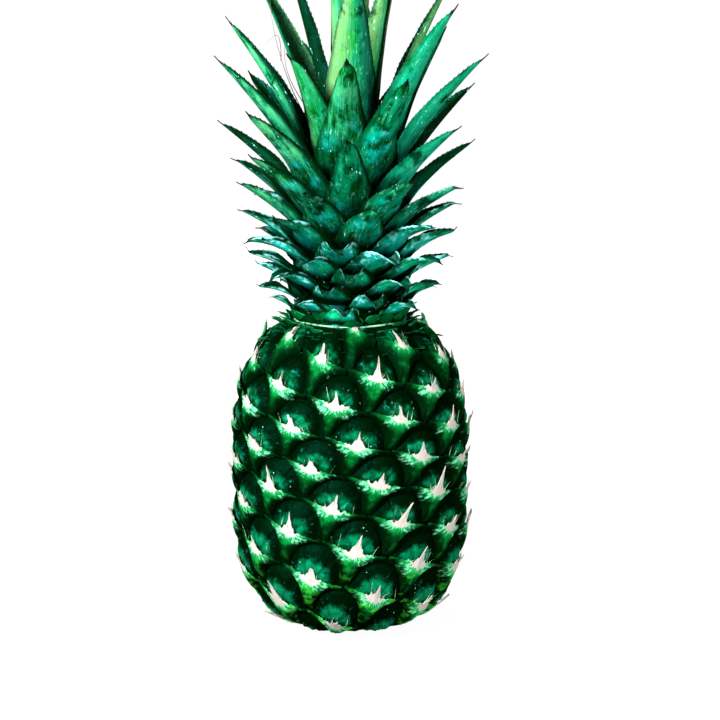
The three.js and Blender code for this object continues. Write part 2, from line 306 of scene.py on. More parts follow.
def lessened(value, mask, share):
    """A value with that share of it taken off where the mask is 1."""
    return times(value, times_plus(mask, -share, 1.0))


def ramp(value, low, high):
    """A soft step from 0 at the low value to 1 at the high one."""
    node = new_node("ShaderNodeMapRange", (value, low, high))
    node.interpolation_type = "SMOOTHSTEP"
    for label, number in (("Value", value), ("From Min", low), ("From Max", high)):
        feed(node.inputs[label], number)
    return node.outputs["Result"]


def point_of(x, y, z):
    node = new_node("ShaderNodeCombineXYZ", (x, y, z))
    for socket, value in zip(node.inputs, (x, y, z)):
        feed(socket, value)
    return node.outputs[0]


def own_place(tree):
    return tree.nodes.new("ShaderNodeTexCoord").outputs["Object"]


def cloud(tree, scale, detail=3.0, roughness=0.55, where=None):
    node = tree.nodes.new("ShaderNodeTexNoise")
    node.inputs["Detail"].default_value = detail
    node.inputs["Roughness"].default_value = roughness
    feed(node.inputs["Scale"], scale)
    feed(node.inputs["Vector"], own_place(tree) if where is None else where)
    return node.outputs["Fac"]


def known(tree, label):
    node = tree.nodes.new("ShaderNodeAttribute")
    node.attribute_name = label
    return node.outputs["Fac"]


def blend(share, first, second):
    node = new_node("ShaderNodeMix", (share,))
    node.data_type = "RGBA"
    feed(node.inputs[0], share)
    for socket, value in ((node.inputs[6], first), (node.inputs[7], second)):
        feed(socket, value if isinstance(value, bpy.types.NodeSocket) else (*value, 1))
    return node.outputs[2]


def new_material(name):
    material = bpy.data.materials.new(name)
    material.use_nodes = True
    return material, material.node_tree, material.node_tree.nodes["Principled BSDF"].inputs


def add_bump(surface, height, distance, strength):
    node = new_node("ShaderNodeBump", (height,))
    for label, value in (("Strength", strength), ("Distance", distance), ("Height", height)):
        feed(node.inputs[label], value)
    feed(surface["Normal"], node.outputs["Normal"])


# How far up the fruit a spot is: 0 at the low height, 1 at the high one, both
# in metres.
height_group, height_in, height_out = new_group("height share", {"Low": 0.0, "High": 0.1}, "Share")
height_split = height_group.nodes.new("ShaderNodeSeparateXYZ")
feed(height_split.inputs[0], own_place(height_group))
feed(height_out, ramp(height_split.outputs["Z"], height_in["Low"], height_in["High"]))


def height_share(tree, low, high):
    return use_group(tree, height_group, {"Low": low, "High": high})


# The groove colour is painted shade, the teal is painted glints.
PAINTED_GROOVE_SHADE_COLOUR = (0.0001, 0.0035, 0.0003)
DOME_COLOUR = (0.0003, 0.026, 0.006)
DOME_LIT_COLOUR = (0.0005, 0.13, 0.052)
PAINTED_DOME_GLINT_COLOUR = (0.004, 0.25, 0.15)
SPECK_COLOUR = (0.3, 0.8, 0.6)
YELLOW_GREEN_COLOUR = (0.04, 0.42, 0.02)
SHEEN_COLOUR = (0.01, 0.6, 0.34, 1)


rind_material, tree, surface = new_material("rind")
inside, across, up, seed = (known(tree, label) for label in ("inside", "across", "up", "seed"))
side = sum_up("DIVIDE", across, ARCH_HALF_WIDTH)
rise = sum_up("DIVIDE", sum_up("ADD", up, ARCH_FOOT), ARCH_HEIGHT + ARCH_FOOT)
arch = length_of(side, rise)
fan = sum_up("ARCTAN2", sum_up("ADD", up, FAN_FOOT), across)
radial = point_of(times(fan, 5.0), times(arch, 1.6), times(seed, 53.0))
wrinkles = cloud(tree, 1.6, 4.0, 0.6, radial)
# Round each dome the colour turns near-black: painted shade in the groove.
lens = length_of(side, times(rise, 1.22))
ring = times_plus(minus(cloud(tree, 260.0, 4.0), 0.5), 0.5, lens)
body = times(ramp(ring, 0.84, 0.52), ramp(inside, 0.25, 0.6))
colour = blend(body, PAINTED_GROOVE_SHADE_COLOUR, DOME_COLOUR)
# Two spots beside the foot of the spike, where the painted light and the painted glints go.
cheek = minus(sum_up("ABSOLUTE", across), 0.3)
spot = ramp(length_of(cheek, times(minus(up, 0.27), 1.3)), 0.5, 0.08)
mottle = cloud(tree, 300.0, 3.0, 0.55)
grain = cloud(tree, 700.0, 5.0, 0.7)
lit = times_plus(wrinkles, 0.12, times(mottle, 1.38))
lit = times_plus(spot, 0.36, lit)
lit = times_plus(height_share(tree, 0.11, 0.14), -0.14, lit)
lit = times_plus(height_share(tree, 0.075, 0.025), 0.32, lit)
lit = times(body, ramp(lit, 0.8, 1.2))
colour = blend(lit, colour, DOME_LIT_COLOUR)
# Teal glints beside the spike: painted highlights.
glint = times_plus(grain, 0.5, mottle)
glint = times(ramp(glint, 0.84, 1.04), spot)
colour = blend(glint, colour, PAINTED_DOME_GLINT_COLOUR)
# Dark lines along the sepal creases: painted shade.
creases = [sum_up("ABSOLUTE", minus(fan, middle)) for middle in SEPAL_FANS]
crease = times_plus(minus(wrinkles, 0.5), 0.5, sum_up("MINIMUM", *creases))
crease = times(ramp(crease, 0.14, 0.02), ramp(arch, 0.12, 0.3))
colour = blend(times(crease, 0.35), colour, PAINTED_GROOVE_SHADE_COLOUR)
speck_field = tree.nodes.new("ShaderNodeTexVoronoi")
feed(speck_field.inputs["Scale"], 420.0)
feed(speck_field.inputs["Vector"], own_place(tree))
speck = ramp(speck_field.outputs["Distance"], 0.16, 0.07)
speck = times(speck, ramp(cloud(tree, 90.0, 1.0), 0.57, 0.66))
colour = blend(times(speck, inside), colour, SPECK_COLOUR)
feed(surface["Base Color"], colour)
feed(surface["Roughness"], times_plus(wrinkles, 0.3, 0.28))
feed(surface["Specular IOR Level"], 0.08)
feed(surface["Specular Tint"], SHEEN_COLOUR)
relief_detail = times_plus(wrinkles, 0.6, cloud(tree, 700.0, 5.0, 0.65))
relief_detail = times_plus(crease, -1.0, relief_detail)
add_bump(surface, relief_detail, 0.0005, 0.9)

rind = make_piece("rind", rind_material, all_rings, rind_faces, rind_values)
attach(rind, "root")
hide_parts("fruit")

# Bracts: one leathery scale under each eye, grown to the rind below and free
# along its top edge, where a dry papery spike stands over the eye.
BRACT_HALF_WIDTH = 0.95
BRACT_FOOT = -0.95
BRACT_COLUMNS = 41
BRACT_ROWS = 11
BRACT_THICKNESS = 0.55
BRACT_EDGE_HEIGHT = 2.4
BRACT_WING_HEIGHT = 0.8
BRACT_SEAM_HEIGHT = -1.9
GROOVE_WIDTH = 0.03
SPIKE_HALF_WIDTH = 0.32
SPIKE_LIFT = 1.9
SHOULDER_LIFT = 2.4
LOWEST_BRACT = 3.5
HIGHEST_BRACT = 152.6

# How many millimetres aside and up one unit across an eye moves, then one
# unit up it, and the area of an eye in square millimetres.
EYE_ACROSS = (15.7, -3.5)
EYE_UP = (5.6, 14.8)
EYE_AREA = 252

# How high and how far to the right each spike's tip stands, in millimetres.
SPIKE_TIPS = {
    21: (3.5, 0.3), 18: (3.2, 0), 16: (7.5, -3.6), 13: (8.8, 0.2), 11: (6.5, -1.4), 10: (5, 0.3),
    8: (10.4, 1.1), 5: (5.6, 0.6), 3: (4.5, 1.4), 0: (6, -0.4), -3: (3, -0.6), -5: (7.2, -1.4),
    -8: (6.2, -1.6), -10: (7.8, 0.4), -13: (6.6, 0.8), -16: (4, -2), -18: (7.2, -0.3), -21: (6.2, -0.3),
    -26: (6, 1.2), -29: (9.8, -0.4), -31: (11, 1.6), -34: (8, 2.4), -37: (4, -0.8), -39: (9.5, 6),
    -42: (9, 1.6), -44: (3, 2), -47: (8, 3), -50: (5.2, -1.5), -52: (8, 3.4), -55: (5.8, 1),
    -60: (5.6, 1.4), -63: (7.6, -2.6), -65: (4, 1),
}


def slab_faces(rows, columns):
    """Faces of a closed slab: an outer sheet of points, then an inner one."""
    spot = np.arange(rows * columns).reshape(rows, columns)
    back = spot + rows * columns
    outer = np.stack([spot[:-1, :-1], spot[:-1, 1:], spot[1:, 1:], spot[1:, :-1]], axis=-1)
    inner = np.stack([back[:-1, :-1], back[1:, :-1], back[1:, 1:], back[:-1, 1:]], axis=-1)
    edge = np.concatenate([spot[0, :-1], spot[:-1, -1], spot[-1, :0:-1], spot[:0:-1, 0]])
    edge_next = np.roll(edge, -1)
    side = np.stack([edge_next, edge, edge + rows * columns, edge_next + rows * columns], axis=-1)
    return np.concatenate([outer.reshape(-1, 4), inner.reshape(-1, 4), side]).tolist()


def bract_sheet(number):
    """Points, faces and named values of one bract."""
    rng = np.random.default_rng(900 + number)
    spread = np.linspace(-1, 1, BRACT_COLUMNS)
    across = BRACT_HALF_WIDTH * np.sign(spread) * np.abs(spread) ** 1.35
    neighbour = np.clip((1 - np.abs(across)) / (ARCH_HALF_WIDTH + GROOVE_WIDTH), 0, 1)
    rise = (ARCH_HEIGHT + GROOVE_WIDTH) * np.sqrt(1 - neighbour ** 2)
    foot = np.maximum(-1 + rise, BRACT_FOOT)
    ragged = rng.normal(0, 0.014 + 0.03 * np.exp(-(across / 0.3) ** 2))
    edge = 0.05 * smooth(0.3, 1, -spread) + ragged * (1 - spread ** 2)
    foot = np.minimum(foot, edge - 0.01)
    usual_tip = (4.2 + 1.8 * uneven(number, 21), 0.6 + 1.8 * uneven(number, 22))
    tip_up, tip_aside = SPIKE_TIPS.get(number, usual_tip)
    leafy = 0 if number in SPIKE_TIPS else smooth(128, 142, eye_height(number))
    tip_up *= 1 - 0.45 * smooth(112, 134, eye_height(number)) * (1 - leafy)
    length = (EYE_ACROSS[0] * tip_up - EYE_ACROSS[1] * tip_aside) / EYE_AREA
    lean = (EYE_UP[1] * tip_aside - EYE_UP[0] * tip_up) / EYE_AREA
    half_width = SPIKE_HALF_WIDTH * (1 + 0.15 * uneven(number, 23))
    needle = np.clip(1 - np.abs(across - 0.02) / half_width, 0, 1) ** (4.0 - 2.0 * leafy)
    top = edge + length * needle
    for _ in range(3):
        splinter = rng.uniform(-0.36, 0.36)
        top = top + rng.uniform(0.02, 0.07) * np.clip(1 - np.abs(across - splinter) / 0.06, 0, 1)
    share = np.linspace(0, 1, BRACT_ROWS)[:, None]
    up = top * (1 - share) + foot * share
    over = np.clip((up - edge) / length, 0, 1)
    across = np.broadcast_to(across, up.shape)
    leaning = across + lean * over ** 1.25
    down = np.clip((edge - up) / np.maximum(edge - foot, 0.05), 0, 1)
    ring = np.hypot((1 - np.abs(across)) / ARCH_HALF_WIDTH, (up + 1) / ARCH_HEIGHT)
    wing = np.abs(across / BRACT_HALF_WIDTH) ** 1.4
    crest = BRACT_EDGE_HEIGHT * (1 - wing) + BRACT_WING_HEIGHT * wing
    height = BRACT_SEAM_HEIGHT + (crest - BRACT_SEAM_HEIGHT) * (1 - down ** 2.6)
    lift = SPIKE_LIFT * (1 + 0.4 * uneven(number, 25)) + SHOULDER_LIFT * leafy
    height = height + lift * over ** 1.4
    angle, z = eye_place(number, leaning, up)
    height = height * end_fade(z)
    thick = BRACT_THICKNESS * (1 - 0.6 * over) * end_fade(z)
    sheets = [place_on_rind(angle, z, height), place_on_rind(angle, z, height - thick)]
    points = np.concatenate(sheets).reshape(-1, 3)
    values = {label: np.tile(numbers.ravel(), 2) for label, numbers in
              (("across", across), ("up", up), ("ring", ring))}
    values["seed"] = np.full(len(points), 0.5 + 0.5 * uneven(number, 5))
    values["leafy"] = np.full(len(points), float(leafy))
    return points, slab_faces(BRACT_ROWS, BRACT_COLUMNS), values


# Near-black painted shade, used on bracts and leaflets.
PAINTED_BRACT_SHADE_COLOUR = (0.0002, 0.006, 0.0008)
BRACT_COLOUR = (0.0005, 0.095, 0.013)
BRACT_LIGHT_COLOUR = (0.001, 0.2, 0.03)
BRACT_GLOW_COLOUR = (0.004, 0.2, 0.048)
BRACT_MINT_COLOUR = (0.15, 0.6, 0.33)
PAPER_COLOUR = (0.385, 0.365, 0.34)
PAPER_SHADE_COLOUR = (0.34, 0.31, 0.23)

# Long streaks of the fibres in bracts, leaflets and leaves.
streak_group, streak_in, streak_out = new_group(
    "streaks", {"Across": 0.0, "Along": 0.0, "Seed": 0.0, "Fineness": 6.0, "Stretch": 0.12}, "Value")
streak_x = times(streak_in["Across"], streak_in["Fineness"])
streak_y = times(times(streak_in["Along"], streak_in["Fineness"]), streak_in["Stretch"])
streak_at = point_of(streak_x, streak_y, times(streak_in["Seed"], 37.0))
feed(streak_out, cloud(streak_group, 1.0, 3.0, 0.6, streak_at))


def streaks(tree, across, along, seed, fineness, stretch):
    return use_group(tree, streak_group, {"Across": across, "Along": along, "Seed": seed,
                                          "Fineness": fineness, "Stretch": stretch})


bract_material, tree, surface = new_material("bract")
across, up, seed = (known(tree, label) for label in ("across", "up", "seed"))
spread = sum_up("ABSOLUTE", across)
low = sum_up("MINIMUM", minus(up, 0.02), 0.0)
reach = length_of(across, low)
ray_angle = sum_up("ARCTAN2", low, across)
ray_at = point_of(times(ray_angle, 6.5), times(reach, 6.0), times(seed, 71.0))
rays = minus(cloud(tree, 1.0, 2.5, 0.55, ray_at), 0.5)
level = sum_up("ABSOLUTE", sum_up("DIVIDE", across, sum_up("MAXIMUM", reach, 0.001)))
points_of_star = sum_up("SINE", times_plus(rays, 2.0, times(ray_angle, 3.0)))
star_reach = times_plus(points_of_star, -0.07, 0.25)
star_reach = times_plus(sum_up("POWER", level, 4.0), 0.16, star_reach)
star_reach = times(star_reach, times_plus(seed, -0.25, 1.1))
star_reach = lessened(star_reach, height_share(tree, 0.13, 0.146), 0.45)
star = times_plus(rays, 1.5, sum_up("DIVIDE", reach, star_reach))
flecks = minus(cloud(tree, 520.0, 4.0), 0.5)
star = times_plus(flecks, 0.8, star)
wisp_at = point_of(times(ray_angle, 5.5), times(reach, 7.0), times(seed, 29.0))
wisps = ramp(cloud(tree, 1.0, 3.0, 0.55, wisp_at), 0.45, 0.6)
mint = times(ramp(star, 1.5, 0.95), wisps)
cream = length_of(sum_up("DIVIDE", across, 0.34), times(low, 5.4))
cream = times_plus(rays, 1.0, times_plus(flecks, 0.6, cream))
cream = times_plus(height_share(tree, 0.13, 0.146), 0.35, times_plus(seed, 0.2, cream))
paper = ramp(cream, 1.12, 0.92)
smudge = minus(cloud(tree, 260.0, 4.0), 0.5)
# Near-black painted shade where the bract runs down into the grooves beside the neighbouring domes, at
# its ends and down its tail; darker again towards the top of the fruit.
ring = times_plus(smudge, 0.4, known(tree, "ring"))
body = ramp(ring, 1.14, 1.42)
end = times_plus(smudge, 0.8, spread)
body = lessened(body, ramp(end, 0.5, 0.95), 0.5)
tail = times_plus(smudge, 0.6, up)
body = lessened(body, ramp(tail, -0.18, -0.55), 0.65)
shoulder = height_share(tree, 0.125, 0.146)
body = lessened(body, shoulder, 0.55)
colour = blend(body, PAINTED_BRACT_SHADE_COLOUR, BRACT_COLOUR)
patch = times_plus(height_share(tree, 0.08, 0.03), 0.16, smudge)
patch = times(ramp(patch, 0.02, 0.14), body)
colour = blend(times(patch, 0.6), colour, BRACT_LIGHT_COLOUR)
glow = ramp(times_plus(smudge, 1.4, cream), 2.15, 0.9)
colour = blend(times(glow, 0.85), colour, BRACT_GLOW_COLOUR)
ripe = times(height_share(tree, 0.055, 0.01), ramp(smudge, -0.03, 0.12))
colour = blend(times(ripe, times_plus(body, 0.6, 0.4)), colour, YELLOW_GREEN_COLOUR)
mint = times(mint, times_plus(shoulder, -0.3, 0.85))
colour = blend(mint, colour, BRACT_MINT_COLOUR)
shade = ramp(streaks(tree, across, up, seed, 44.0, 0.1), 0.46, 0.62)
paper_tone = blend(times(shade, 0.7), PAPER_COLOUR, PAPER_SHADE_COLOUR)
paper = lessened(paper, known(tree, "leafy"), 0.95)
colour = blend(paper, colour, paper_tone)
feed(surface["Base Color"], colour)
feed(surface["Roughness"], times_plus(paper, 0.3, 0.5))
feed(surface["Specular IOR Level"], 0.06)
feed(surface["Specular Tint"], SHEEN_COLOUR)
add_bump(surface, streaks(tree, across, up, seed, 30.0, 0.12), 0.0004, 0.8)

bract_parts = [bract_sheet(number) for number in EYE_NUMBERS
               if LOWEST_BRACT < eye_height(number) < HIGHEST_BRACT]
bracts = make_piece("bracts", bract_material, *join_parts(bract_parts), 50)
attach(bracts, "root")

# Shoulder leaflets: small green pointed scales, neither bract nor leaf, that
# stand round the top of the fruit where the crown begins.
LEAFLET_ROWS = 9
LEAFLET_COLUMNS = 7
LEAFLET_THICKNESS = 0.4

# How many stand in each ring, its height, their length, width and lean, and
# the share by which those at the front are shorter.
LEAFLET_RINGS = (
    (17, 153.0, 10.0, 13.0, 12, 0.0),
    (30, 151.3, 8.0, 9.0, 24, 0.7),
    (28, 148.6, 7.0, 10.0, 40, 0.75),
    (26, 144.0, 5.5, 9.0, 48, 0.8),
)


def turn_out(angle, reach, side, height):
    """Points from reach, side and height, turned about the core, in radians."""
    spots = np.broadcast_arrays(reach * math.cos(angle) - side * math.sin(angle),
                                reach * math.sin(angle) + side * math.cos(angle), height)
    return np.stack(spots, axis=-1)


def leaflet_sheet(angle, z, length, width, lean, number):
    """Points, faces and values of one scale, leaning out from the plumb line."""
    t = np.linspace(0, 1, LEAFLET_ROWS)[:, None]
    u = np.linspace(-1, 1, LEAFLET_COLUMNS)[None, :]
    half = width / 2 * (1 - t) ** 0.45 * (1 + 0.2 * np.sin(13 * t + number))
    side = u * half + 1.2 * uneven(number, 41) * t ** 2
    tilt = math.radians(lean) * (1 + 0.5 * t ** 2)
    radius = float(fruit_radius(z)) - 1.6 + length * t * np.sin(tilt)
    height = z - 1.2 + length * t * np.cos(tilt)
    hollow = 0.13 * (u * half) ** 2
    sheets = [turn_out(math.radians(angle), radius - hollow + depth, side, height)
              for depth in (0.0, -LEAFLET_THICKNESS * (1 - 0.6 * t))]
    points = np.concatenate(sheets).reshape(-1, 3)
    values = {"down": np.tile((1 - t + 0 * u).ravel(), 2), "across": np.tile((u + 0 * t).ravel(), 2),
              "seed": np.full(len(points), 0.5 + 0.5 * uneven(number, 47))}
    return points, slab_faces(LEAFLET_ROWS, LEAFLET_COLUMNS), values


leaflet_parts = []
for count, z, length, width, lean, front_cut in LEAFLET_RINGS:
    for i in range(count):
        number = len(leaflet_parts) + 1
        angle = 360 * (i + 0.35 * uneven(number, 42)) / count + 3 * z
        facing = max(0, -math.sin(math.radians(angle)))
        long = length * (1 + 0.3 * uneven(number, 43)) * (1 - front_cut * facing)
        wide = width * (1 + 0.2 * uneven(number, 44))
        leaning = lean + 12 * uneven(number, 45)
        leaflet_parts.append(leaflet_sheet(angle, z + uneven(number, 46), long, wide, leaning, number))

LEAFLET_COLOUR = (0.0006, 0.075, 0.018)
LEAFLET_EDGE_COLOUR = (0.02, 0.36, 0.12)

leaflet_material, tree, surface = new_material("leaflet")
down, across, seed = (known(tree, label) for label in ("down", "across", "seed"))
grain = streaks(tree, across, down, seed, 4.0, 0.5)
# Near-black at the foot: painted shade where each leaflet comes out from the rind.
colour = blend(ramp(down, 1.0, 0.3), PAINTED_BRACT_SHADE_COLOUR, LEAFLET_COLOUR)
edge = times_plus(grain, 0.5, sum_up("ABSOLUTE", across))
edge = times(ramp(edge, 1.05, 1.3), ramp(down, 0.8, 0.3))
colour = blend(edge, colour, LEAFLET_EDGE_COLOUR)
feed(surface["Base Color"], colour)
feed(surface["Roughness"], 0.5)
feed(surface["Specular IOR Level"], 0.08)
feed(surface["Specular Tint"], SHEEN_COLOUR)
add_bump(surface, grain, 0.0004, 0.6)
leaflets = make_piece("shoulder_leaflets", leaflet_material, *join_parts(leaflet_parts), 50)
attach(leaflets, "root")

# Dry threads: fine papery hairs frayed from the bracts' edges and spikes.
THREADS_PER_EYE = 4
THREAD_STEPS = 6
THREAD_RADIUS = 0.16
LOWEST_THREAD = 4
HIGHEST_THREAD = 150


def tube_round(path, radius):
    """A thin three-sided tube that tapers along a path, with no named values."""
    along = np.gradient(path, axis=0)
    along /= np.linalg.norm(along, axis=1, keepdims=True)
    first = np.cross(along, [0.3, 0.2, 0.93])
    first /= np.linalg.norm(first, axis=1, keepdims=True)
    second = np.cross(along, first)
    taper = radius * (1 - 0.85 * np.linspace(0, 1, len(path)))[:, None]
    rings = [path + taper * (math.cos(a) * first + math.sin(a) * second) for a in (0, 2.094, 4.189)]
    points = np.stack(rings, axis=1).reshape(-1, 3)
    return points, closed_faces(len(path), 3), {}


thread_parts = []
thread_rng = np.random.default_rng(77)
for number in EYE_NUMBERS:
    if not LOWEST_THREAD < eye_height(number) < HIGHEST_THREAD:
        continue
    for _ in range(THREADS_PER_EYE):
        across = float(np.clip(thread_rng.normal(0, 0.32), -0.8, 0.8))
        rise_mm = thread_rng.uniform(1.5, 6.5)
        drift_mm = thread_rng.normal(0.6, 1.6)
        lift_mm = thread_rng.uniform(0.2, 2.4)
        share = np.linspace(0, 1, THREAD_STEPS)
        leaning = across + share * drift_mm / EYE_ACROSS[0] - 0.36 * share * rise_mm / EYE_UP[1]
        angle, z = eye_place(number, leaning, share * rise_mm / EYE_UP[1])
        crest = BRACT_EDGE_HEIGHT - 1.3 * abs(across) - 0.3
        path = place_on_rind(angle, np.clip(z, 1, 152), crest + lift_mm * share ** 1.6)
        thread_parts.append(tube_round(path, THREAD_RADIUS * thread_rng.uniform(0.6, 1.2)))

THREAD_COLOUR = (0.45, 0.62, 0.36)
thread_material, tree, surface = new_material("dry_thread")
colour = blend(ramp(cloud(tree, 220.0, 2.0), 0.42, 0.6), THREAD_COLOUR, BRACT_COLOUR)
feed(surface["Base Color"], colour)
feed(surface["Roughness"], 0.8)
threads = make_piece("dry_threads", thread_material, *join_parts(thread_parts))
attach(threads, "root")

# Cut stem: the stub that the fruit was cut off, a dry disc of tough fibres
# flush with the underside.
CUT_PALE_COLOUR = (0.5, 0.4, 0.24)
CUT_DARK_COLOUR = (0.2, 0.13, 0.06)

cut_material, tree, surface = new_material("cut_stem")
fibre = ramp(cloud(tree, 1400.0, 4.0), 0.4, 0.62)
stain = ramp(cloud(tree, 160.0, 3.0), 0.38, 0.66)
colour = blend(fibre, CUT_DARK_COLOUR, CUT_PALE_COLOUR)
colour = blend(times(stain, 0.55), colour, CUT_DARK_COLOUR)
feed(surface["Base Color"], colour)
feed(surface["Roughness"], times_plus(fibre, 0.1, 0.8))
add_bump(surface, cloud(tree, 1400.0, 4.0), 0.0006, 0.8)
stem_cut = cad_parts["stem_cut"]
stem_cut.data.materials.clear()
stem_cut.data.materials.append(cut_material)

# Crown leaves: stiff gutter-shaped leaves on one spiral round a short stem,
# waxy and convex outside, with fine teeth and a dry wiry tip. Leaf k is
# counted from the lowest up.
CROWN_LEAVES = 88
CROWN_SPAN = 83
BASAL_LEAVES = 19
HEART_LEAVES = 12
FREE_LEAVES = range(BASAL_LEAVES, CROWN_LEAVES - HEART_LEAVES)
LEAF_TURN = 137.5
LEAF_ZERO_ANGLE = -95.0
CORE_RADIUS = 25.0
CORE_TOP_RADIUS = 3.0
CORE_HEIGHT = 58.0
COLLAR_STAND = 1.5
BASAL_STAND = 1.6
FIT_GAP = 0.3
LEAF_THICKNESS = 0.9
HEART_SINK = 0.6
FRONT_DROP = 0.09
GUTTER = 1.1
LEAF_TAPER = 0.61
MARGIN_THICKNESS = 0.16
LEAF_ROWS = 44
LEAF_COLUMNS = 13
TOOTH_SPACING = 2.6
TOOTH_LENGTH = 1.0
TIP_HALF_WIDTH = 0.22
TIP_CURL = 2.5
TIP_DROP = 0.62

# What the finish needs to know at each spot of a leaf: the share of the way
# to the tip, the share from the middle to a margin, millimetres along and
# aside, and 1 on the inner face; then a random number, the leaf's youth, its
# tone and its share of lime green.
LEAF_VALUES = ("t", "u", "along", "aside", "inner", "seed", "young", "tone", "lime")

# Sideways lean of single leaves at the tip, and broad leaves, in millimetres
# and as a multiple of the usual width.
LEAF_LEANS = {68: 8.0, 63: 3.0}
BROAD_LEAVES = {76: 1.55, 55: 0.84}

# Leaves darkened as painted shade below zero, fresh pale blue-green ones above,
# and the share of lime green in leaves that yellow towards the tip.
LEAF_TONES = {
    53: -0.75, 57: -0.7, 61: -0.85, 62: -0.6, 78: -0.85, 49: -0.4,
    58: 0.7, 66: 0.8, 71: 0.8, 65: 0.35, 70: 0.3, 48: 0.4, 45: 0.35,
}
LIME_LEAVES = {
    60: 0.9, 65: 1.0, 70: 1.0, 52: 0.5, 44: 0.4, 68: 0.45, 73: 0.3, 71: 0.4, 66: 0.3, 81: 0.8, 79: 0.6,
}

# Large leaves that grew out of line: turn in degrees, then tip radius and
# tip height as multiples of the usual ones.
LEAF_CHANGES = {
    55: (0, 1.0, 1.07),
    60: (-11, 1.1, 1.0),
    63: (6, 1.03, 1.08),
    68: (7, 0.94, 0.99),
    71: (10, 1.1, 1.06),
    73: (12, 0.9, 0.83),
    75: (10, 1.2, 1.0),
}

# Share of the way up the crown, tip radius, tip height over the fruit, width.
LEAF_STATIONS = np.array([
    (0.00, 38, 10, 20),
    (0.12, 46, 19, 22),
    (0.25, 50, 32, 25),
    (0.45, 54, 53, 28),
    (0.60, 59, 79, 31),
    (0.72, 64, 107, 34),
    (0.82, 66, 139, 35),
    (0.90, 48, 168, 34),
    (0.96, 24, 192, 30),
    (1.00, 10, 207, 24),
    (1.05, 5, 176, 18),
])


def core_radius(share):
    return CORE_TOP_RADIUS + (CORE_RADIUS - CORE_TOP_RADIUS) * (1 - share)


def leaf_stand(k):
    if k in FREE_LEAVES:
        return LEAF_THICKNESS + FIT_GAP
    return BASAL_STAND if k < BASAL_LEAVES else -HEART_SINK


def leaf_sizes(k):
    """Angle, base and tip in the leaf's upright plane, and its width."""
    share = k / CROWN_SPAN
    seat = min(share, 1)
    base = np.array([core_radius(seat) + leaf_stand(k), FRUIT_HEIGHT + 1.5 + CORE_HEIGHT * seat * 0.95])
    turn, more_reach, more_rise = LEAF_CHANGES.get(k, (0, 1, 1))
    angle = math.radians(LEAF_ZERO_ANGLE + k * LEAF_TURN + 4 * uneven(k, 7) + turn)
    front = max(0, -math.sin(angle))
    tip_radius, tip_height, width = (np.interp(share, LEAF_STATIONS[:, 0], LEAF_STATIONS[:, c])
                                     for c in (1, 2, 3))
    reach = more_reach * (1 + 0.05 * uneven(k, 5))
    rise = more_rise * (1 + 0.04 * uneven(k, 6)) * (1 - FRONT_DROP * front)
    tip = np.array([base[0] + (tip_radius - base[0]) * reach, FRUIT_HEIGHT + tip_height * rise])
    return angle, base, tip, width * (1 + 0.08 * uneven(k, 8))


def leaf_midrib(base, tip, share):
    """Points along the midrib: steep at first, then arching out."""
    chord = tip - base
    reach = np.hypot(*chord)
    lean = math.atan2(chord[0], chord[1])
    start = 0.68 * lean + math.radians(1)
    finish = lean + min(math.radians(9), 0.3 * lean)
    knots = [base,
             base + 0.36 * reach * np.array([math.sin(start), math.cos(start)]),
             tip - 0.34 * reach * np.array([math.sin(finish), math.cos(finish)]),
             tip]
    s = share[:, None]
    return ((1 - s) ** 3 * knots[0] + 3 * (1 - s) ** 2 * s * knots[1]
            + 3 * (1 - s) * s ** 2 * knots[2] + s ** 3 * knots[3])


def margin_way(start, finish, middle):
    """The way out at the margin, from the middle of the leaf."""
    along = finish - start
    away = start - middle
    away = away - along * (np.sum(away * along, axis=1) / np.sum(along * along, axis=1))[:, None]
    return away / np.linalg.norm(away, axis=1, keepdims=True)


def leaf_teeth(k, along, outer, inner, way):
    """Points, faces and named values of the teeth on the margin at -1 or 1."""
    margin, next_to_it = (0, 1) if way < 0 else (-1, -2)
    tooth_at = np.arange(4 + 2 * uneven(k, 14), along[-1] - 3, TOOTH_SPACING)
    start, finish, middle, behind = (
        np.stack([np.interp(at, along, sheet[:, column, c]) for c in range(3)], axis=-1)
        for at, sheet, column in ((tooth_at, outer, margin), (tooth_at + 1.1, outer, margin),
                                  (tooth_at + 0.6, outer, next_to_it), (tooth_at + 0.6, inner, margin)))
    out = margin_way(start, finish, middle)
    size = (TOOTH_LENGTH * (0.75 + 0.25 * uneven(np.arange(len(tooth_at)) + k, 15)))[:, None]
    point = finish + size * (0.75 * out + 0.5 * (finish - start))
    points = np.stack([start, finish, behind, point], axis=1).reshape(-1, 3)
    sides = ((0, 1, 3), (1, 2, 3), (2, 0, 3), (0, 2, 1)) if way > 0 else \
            ((1, 0, 3), (2, 1, 3), (0, 2, 3), (2, 0, 1))
    faces = [[4 * i + corner for corner in side] for i in range(len(tooth_at)) for side in sides]
    values = {"t": np.repeat(tooth_at / along[-1], 4), "u": np.full(len(points), 1.3 * way),
              "along": np.repeat(tooth_at, 4), "aside": np.full(len(points), 9.0 * way),
              "inner": np.zeros(len(points))}
    return points, faces, values


